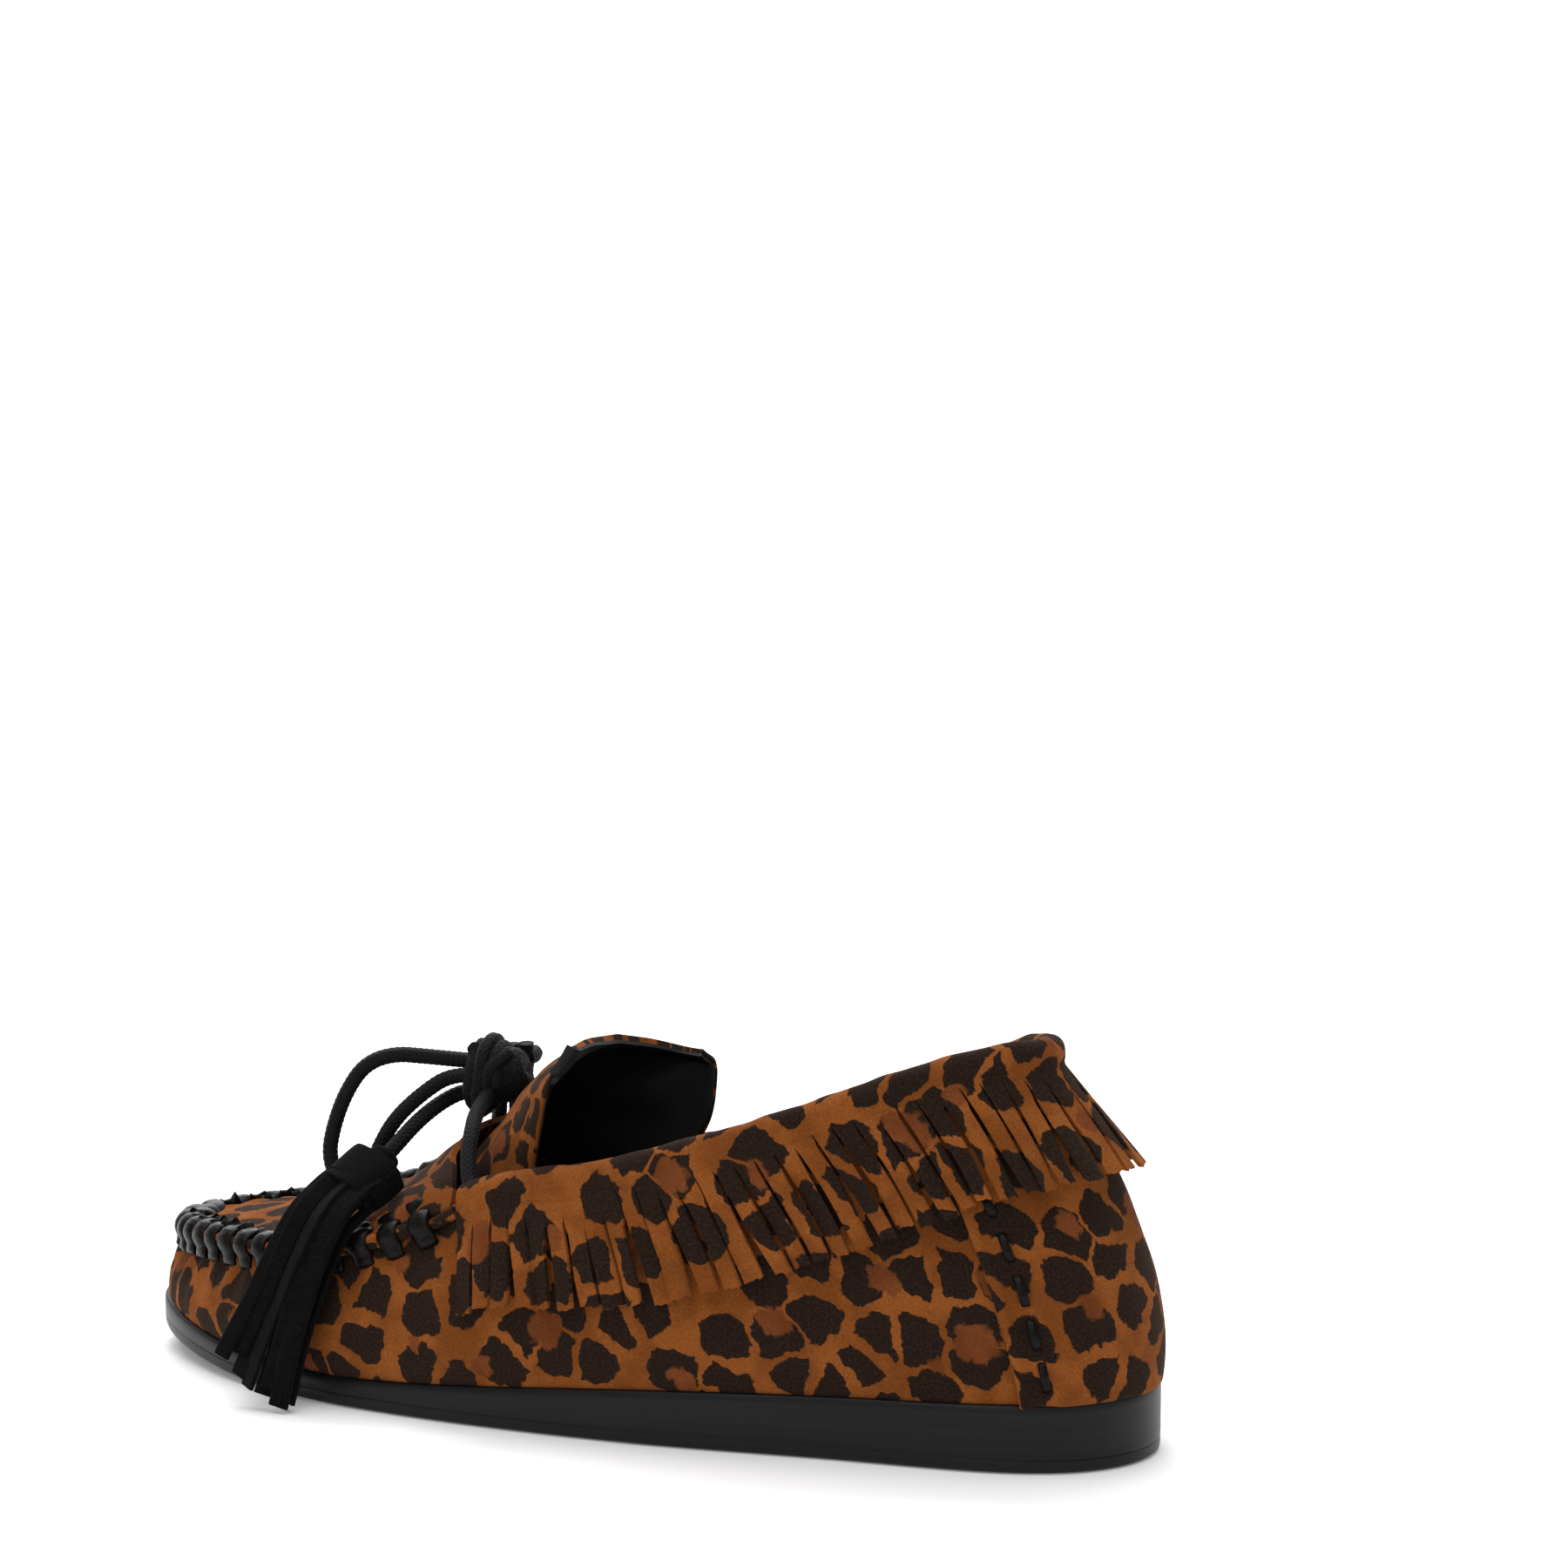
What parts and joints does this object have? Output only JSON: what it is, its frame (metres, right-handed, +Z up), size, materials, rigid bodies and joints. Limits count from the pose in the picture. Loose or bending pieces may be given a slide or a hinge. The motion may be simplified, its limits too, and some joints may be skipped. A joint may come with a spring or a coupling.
{
  "type": "moccasin",
  "caption": "Low slip-on moccasin in spotted suede, with a whipstitched apron, a fringed folded collar, a tied lace with tassels and a thin tapered sole.",
  "frame": {"origin": "on the ground under the middle of the sole's length, on the sole's centre line", "axes": "+Y towards the heel, +X towards the outer side of the foot, +Z up"},
  "size_m": [0.1081, 0.2632, 0.0927],
  "materials": {
    "tread_leather": "black dyed leather tread",
    "edge_leather": "black burnished leather edge, satin",
    "fibre_board": "pressed fibre board",
    "foam": "soft latex foam",
    "lining_leather": "black smooth lining leather, matt",
    "leopard_suede": "tan suede printed with dark brown leopard spots",
    "lacing_leather": "glossy black leather lacing",
    "black_cord": "black braided cotton cord, matt",
    "black_suede": "black suede"
  },
  "bodies": {
    "shoe": {"outsole": "tread_leather", "sole_wedge": "edge_leather", "insole_board": "fibre_board", "heel_cushion": "foam", "sock_lining": "lining_leather", "side_wall": "leopard_suede", "apron": "leopard_suede", "vamp_lining": "lining_leather", "heel_counter": "fibre_board", "quarter_lining": "lining_leather", "heel_patch": "leopard_suede", "collar_band": "leopard_suede", "fringe": "leopard_suede", "moc_whipstitch": "lacing_leather", "heel_lacing_outer": "lacing_leather", "heel_lacing_inner": "lacing_leather", "collar_lace": "black_cord", "lace_knot": "black_cord", "bow_loop_outer": "black_cord", "bow_loop_inner": "black_cord", "lace_tail_outer": "black_cord", "lace_tail_inner": "black_cord"},
    "tongue": {"tongue": "leopard_suede", "tongue_lining": "lining_leather"},
    "tassel_outer": {"tassel_head_outer": "black_suede", "tassel_strips_outer": "black_suede"},
    "tassel_inner": {"tassel_head_inner": "black_suede", "tassel_strips_inner": "black_suede"}
  },
  "joints": [
    {"name": "tongue_fold", "type": "hinge", "parent": "shoe", "child": "tongue", "pos_m": [0, -0.038, 0.046], "axis": [-1, 0, 0], "range_deg": [0, 20], "stiffness_Nm_per_rad": 0.2},
    {"name": "tassel_outer_swing", "type": "hinge", "parent": "shoe", "child": "tassel_outer", "pos_m": [0.0198, -0.0544, 0.0559], "axis": [0, -1, 0], "range_deg": [0, 55]},
    {"name": "tassel_inner_swing", "type": "hinge", "parent": "shoe", "child": "tassel_inner", "pos_m": [-0.0335, -0.0381, 0.0576], "axis": [0, 1, 0], "range_deg": [0, 55]}
  ]
}
